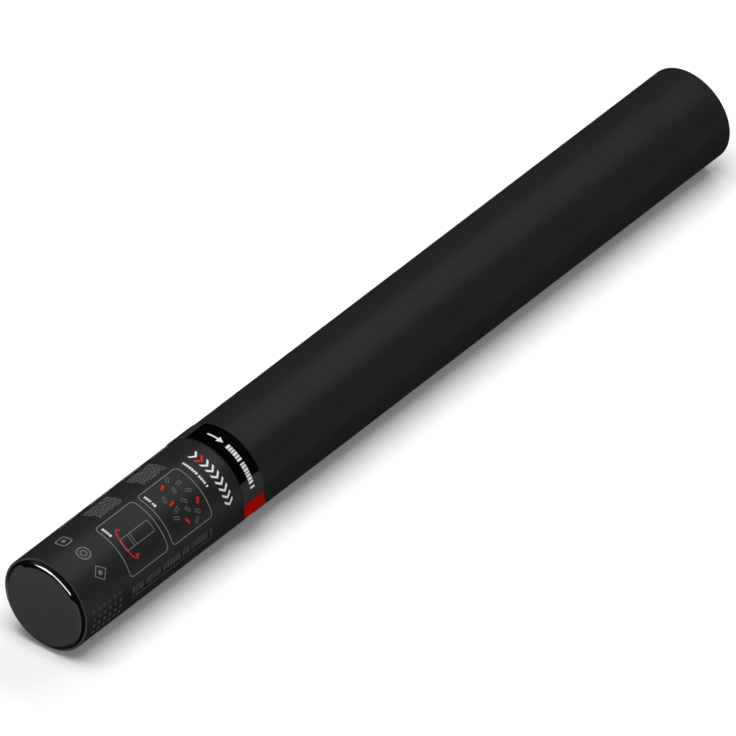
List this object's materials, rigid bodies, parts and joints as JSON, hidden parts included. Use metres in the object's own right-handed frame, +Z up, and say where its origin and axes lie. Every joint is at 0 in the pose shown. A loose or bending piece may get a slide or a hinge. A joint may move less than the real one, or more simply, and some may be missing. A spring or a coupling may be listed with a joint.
{
  "type": "confetti popper",
  "caption": "Slim round hand-held confetti popper: a long black tube with a twist grip, pull-off seal, gas cylinder on a needle, wad, paper slips and a muzzle lid.",
  "frame": {"origin": "on the surface that the tube lies on, under the middle of its length", "axes": "+X along the tube from base to muzzle, +Z up, +Y to the left when looking along +X"},
  "size_m": [0.5, 0.0526, 0.0513],
  "materials": {
    "black_board": "matt black wound board",
    "label_paper": "charcoal printed paper, satin",
    "cap_plastic": "glossy black moulding",
    "seal_film": "glossy black film",
    "tab_film": "glossy red film",
    "mechanism_plastic": "dark grey moulding",
    "rubber": "black rubber",
    "steel": "turned steel",
    "aluminium": "satin drawn aluminium",
    "wad_plastic": "off-white moulding",
    "grey_card": "plain grey card",
    "slip_paper": "white tissue slips in stacks",
    "lid_plastic": "matt black moulding"
  },
  "bodies": {
    "barrel": {"barrel_tube": "black_board", "firing_housing": "mechanism_plastic", "housing_o_ring": "rubber", "piercing_needle": "steel", "needle_washer": "steel", "needle_nut": "steel", "neck_seal": "rubber", "retaining_ring": "steel", "thrust_washer": "mechanism_plastic", "guard_spring": "steel"},
    "grip": {"grip_tube": "black_board", "grip_label": "label_paper", "base_cap": "cap_plastic", "cam_sleeve": "mechanism_plastic"},
    "carriage": {"cylinder_carrier": "mechanism_plastic", "follower_pins": "steel", "carrier_pad": "rubber", "gas_cylinder": "aluminium", "burst_disc": "aluminium", "crimp_ring": "aluminium"},
    "payload": {"pusher_wad": "wad_plastic", "wad_card": "grey_card", "confetti_layer_1": "slip_paper", "confetti_layer_2": "slip_paper", "confetti_layer_3": "slip_paper", "confetti_layer_4": "slip_paper", "confetti_layer_5": "slip_paper", "confetti_layer_6": "slip_paper", "top_card": "grey_card"},
    "lid": {"muzzle_lid": "lid_plastic"},
    "seal": {"seal_strip": "seal_film"},
    "pull_tab": {"seal_pull_tab": "tab_film"}
  },
  "joints": [
    {"name": "grip_twist", "type": "hinge", "parent": "barrel", "child": "grip", "pos_m": [0, 0, 0.0255], "axis": [1, 0, 0], "range_deg": [0, 90]},
    {"name": "cylinder_advance", "type": "slide", "parent": "barrel", "child": "carriage", "axis": [1, 0, 0], "range_m": [0, 0.008], "deforming": ["guard_spring", "burst_disc"]},
    {"name": "payload_eject", "type": "slide", "parent": "barrel", "child": "payload", "axis": [1, 0, 0], "range_m": [0, 0.35]},
    {"name": "lid_release", "type": "slide", "parent": "barrel", "child": "lid", "axis": [1, 0, 0], "range_m": [0, 0.35]},
    {"name": "seal_removal", "type": "slide", "parent": "barrel", "child": "seal", "axis": [-1, 0, 0], "range_m": [0, 0.14]},
    {"name": "tab_lift", "type": "hinge", "parent": "seal", "child": "pull_tab", "pos_m": [-0.1212, -0.02585, 0.02532], "axis": [-1, 0, 0], "range_deg": [0, 110]}
  ],
  "couplings": [
    {"joint": "cylinder_advance", "follows": "grip_twist", "m_per_rad": 0.005093},
    {"joint": "lid_release", "follows": "payload_eject", "ratio": 1}
  ]
}
